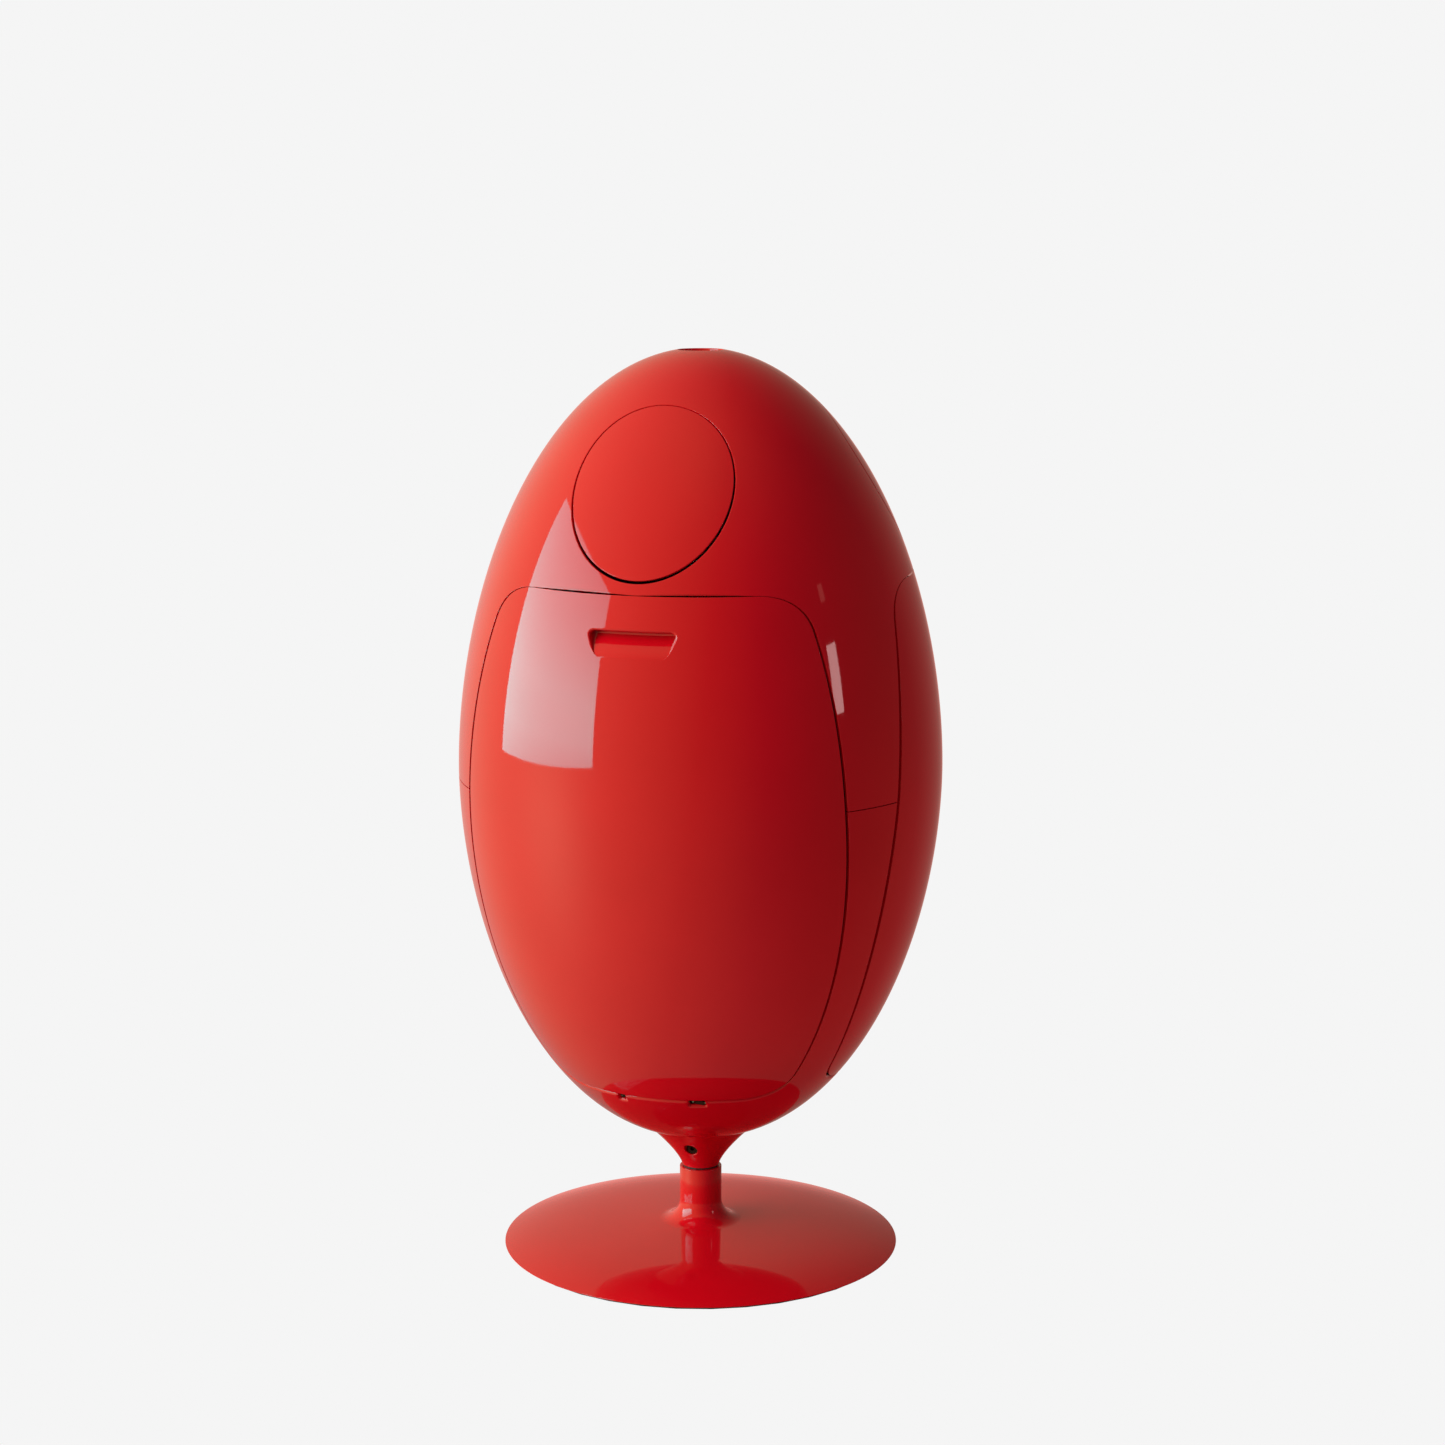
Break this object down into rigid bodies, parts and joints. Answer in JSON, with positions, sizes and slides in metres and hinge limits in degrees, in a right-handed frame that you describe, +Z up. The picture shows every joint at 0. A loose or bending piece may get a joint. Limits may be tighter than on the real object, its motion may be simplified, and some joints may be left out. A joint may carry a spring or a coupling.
{
  "type": "egg-shaped waste-sorting bin",
  "caption": "Glossy egg-shaped waste-sorting bin on a swivelling pedestal, with tilt-out doors that carry inner buckets and a round push flap above each door.",
  "frame": {"origin": "on the floor, under the middle of the base", "axes": "+Z up along the swivel axis; -Y points out of the first door"},
  "size_m": [0.502, 0.502, 0.9465],
  "materials": {
    "red_gloss": "high-gloss moulded red",
    "black_plastic": "fine-grained black",
    "grey_plastic": "matte grey",
    "nylon": "black graphite-filled nylon",
    "rubber": "matte",
    "bright_steel": "turned bright",
    "zinc_steel": "black passivated zinc plate",
    "spring_steel": "drawn wire",
    "ballast": "dark primed"
  },
  "bodies": {
    "base": {"base_disc": "red_gloss", "ballast_plate": "ballast", "foot_ring": "rubber", "spindle": "bright_steel", "spindle_nut": "bright_steel", "thrust_washer": "nylon"},
    "egg": {"neck_collar": "red_gloss", "swivel_bush": "nylon", "retaining_screw": "zinc_steel", "clamp_ring": "zinc_steel", "lower_shell": "red_gloss", "upper_shell": "red_gloss", "deck": "grey_plastic", "centre_post": "bright_steel", "apex_cup": "red_gloss", "apex_nut": "bright_steel", "divider_wall_1": "grey_plastic", "splice_plate_1": "zinc_steel", "catch_block_1": "black_plastic", "hinge_rod_1": "bright_steel", "hinge_bracket_1": "zinc_steel", "flap_pin_1": "bright_steel", "flap_bracket_1": "zinc_steel", "flap_spring_1": "spring_steel", "divider_wall_2": "grey_plastic", "splice_plate_2": "zinc_steel", "catch_block_2": "black_plastic", "hinge_rod_2": "bright_steel", "hinge_bracket_2": "zinc_steel", "flap_pin_2": "bright_steel", "flap_bracket_2": "zinc_steel", "flap_spring_2": "spring_steel", "divider_wall_3": "grey_plastic", "splice_plate_3": "zinc_steel", "catch_block_3": "black_plastic", "hinge_rod_3": "bright_steel", "hinge_bracket_3": "zinc_steel", "flap_pin_3": "bright_steel", "flap_bracket_3": "zinc_steel", "flap_spring_3": "spring_steel"},
    "door_1": {"door_panel_1": "red_gloss", "hinge_yoke_1": "zinc_steel", "bucket_1": "black_plastic", "bucket_hanger_1": "zinc_steel"},
    "door_2": {"door_panel_2": "red_gloss", "hinge_yoke_2": "zinc_steel", "bucket_2": "black_plastic", "bucket_hanger_2": "zinc_steel"},
    "door_3": {"door_panel_3": "red_gloss", "hinge_yoke_3": "zinc_steel", "bucket_3": "black_plastic", "bucket_hanger_3": "zinc_steel"},
    "flap_1": {"flap_disc_1": "red_gloss", "flap_arm_1": "black_plastic"},
    "flap_2": {"flap_disc_2": "red_gloss", "flap_arm_2": "black_plastic"},
    "flap_3": {"flap_disc_3": "red_gloss", "flap_arm_3": "black_plastic"}
  },
  "joints": [
    {"name": "egg_swivel", "type": "hinge", "parent": "base", "child": "egg", "pos_m": [0, 0, 0.086], "axis": [0, 0, 1], "continuous": true},
    {"name": "door_1_tilt", "type": "hinge", "parent": "egg", "child": "door_1", "pos_m": [0, -0.1345, 0.197], "axis": [1, 0, 0], "range_deg": [0, 40]},
    {"name": "door_2_tilt", "type": "hinge", "parent": "egg", "child": "door_2", "pos_m": [0.11648, 0.06725, 0.197], "axis": [-0.5, 0.866, 0], "range_deg": [0, 40]},
    {"name": "door_3_tilt", "type": "hinge", "parent": "egg", "child": "door_3", "pos_m": [-0.11648, 0.06725, 0.197], "axis": [-0.5, -0.866, 0], "range_deg": [0, 40]},
    {"name": "flap_1_push", "type": "hinge", "parent": "egg", "child": "flap_1", "pos_m": [0, -0.1075, 0.8915], "axis": [1, 0, 0], "range_deg": [0, 50], "stiffness_Nm_per_rad": 0.15, "springref_deg": -57.3},
    {"name": "flap_2_push", "type": "hinge", "parent": "egg", "child": "flap_2", "pos_m": [0.0931, 0.05375, 0.8915], "axis": [-0.5, 0.866, 0], "range_deg": [0, 50], "stiffness_Nm_per_rad": 0.15, "springref_deg": -57.3},
    {"name": "flap_3_push", "type": "hinge", "parent": "egg", "child": "flap_3", "pos_m": [-0.0931, 0.05375, 0.8915], "axis": [-0.5, -0.866, 0], "range_deg": [0, 50], "stiffness_Nm_per_rad": 0.15, "springref_deg": -57.3}
  ]
}
